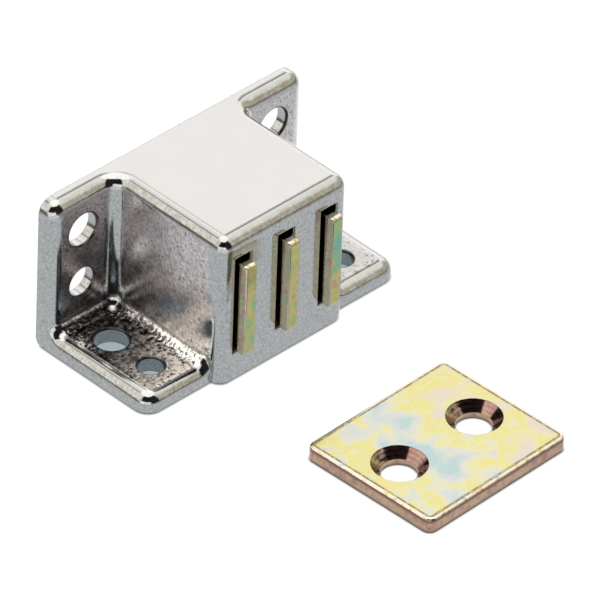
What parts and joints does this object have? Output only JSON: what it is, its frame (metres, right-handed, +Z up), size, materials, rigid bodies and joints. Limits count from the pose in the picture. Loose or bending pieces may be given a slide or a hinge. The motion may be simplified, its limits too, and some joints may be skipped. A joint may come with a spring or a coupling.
{
  "type": "magnetic catch",
  "caption": "Die-cast magnetic door catch with two mounting flanges at a right angle, a rocking magnet pack behind slotted pole plates, and a countersunk steel strike plate.",
  "frame": {"origin": "on the base plane, midway between the two large base holes", "axes": "+X along the catch, -Y the way the pole plates face, +Z up from the base plane"},
  "size_m": [0.05, 0.0692, 0.0258],
  "materials": {
    "plated_zinc": "bright plated zinc casting",
    "cover_steel": "zinc plated sheet",
    "holder_nylon": "moulded, matt",
    "chromated_steel": "yellow chromate over zinc plating",
    "ferrite": "ground ferrite"
  },
  "bodies": {
    "housing": {"housing": "plated_zinc", "back_cover": "cover_steel", "strike_plate": "chromated_steel"},
    "magnet_pack": {"magnet_holder": "holder_nylon", "pole_plate_left": "chromated_steel", "pole_plate_centre": "chromated_steel", "pole_plate_right": "chromated_steel", "magnet_left": "ferrite", "magnet_right": "ferrite"}
  },
  "joints": [
    {"name": "pack_tilt", "type": "hinge", "parent": "housing", "child": "magnet_pack", "pos_m": [0, 0.0069, 0.01325], "axis": [0, 0, 1], "range_deg": [-1, 1]}
  ]
}
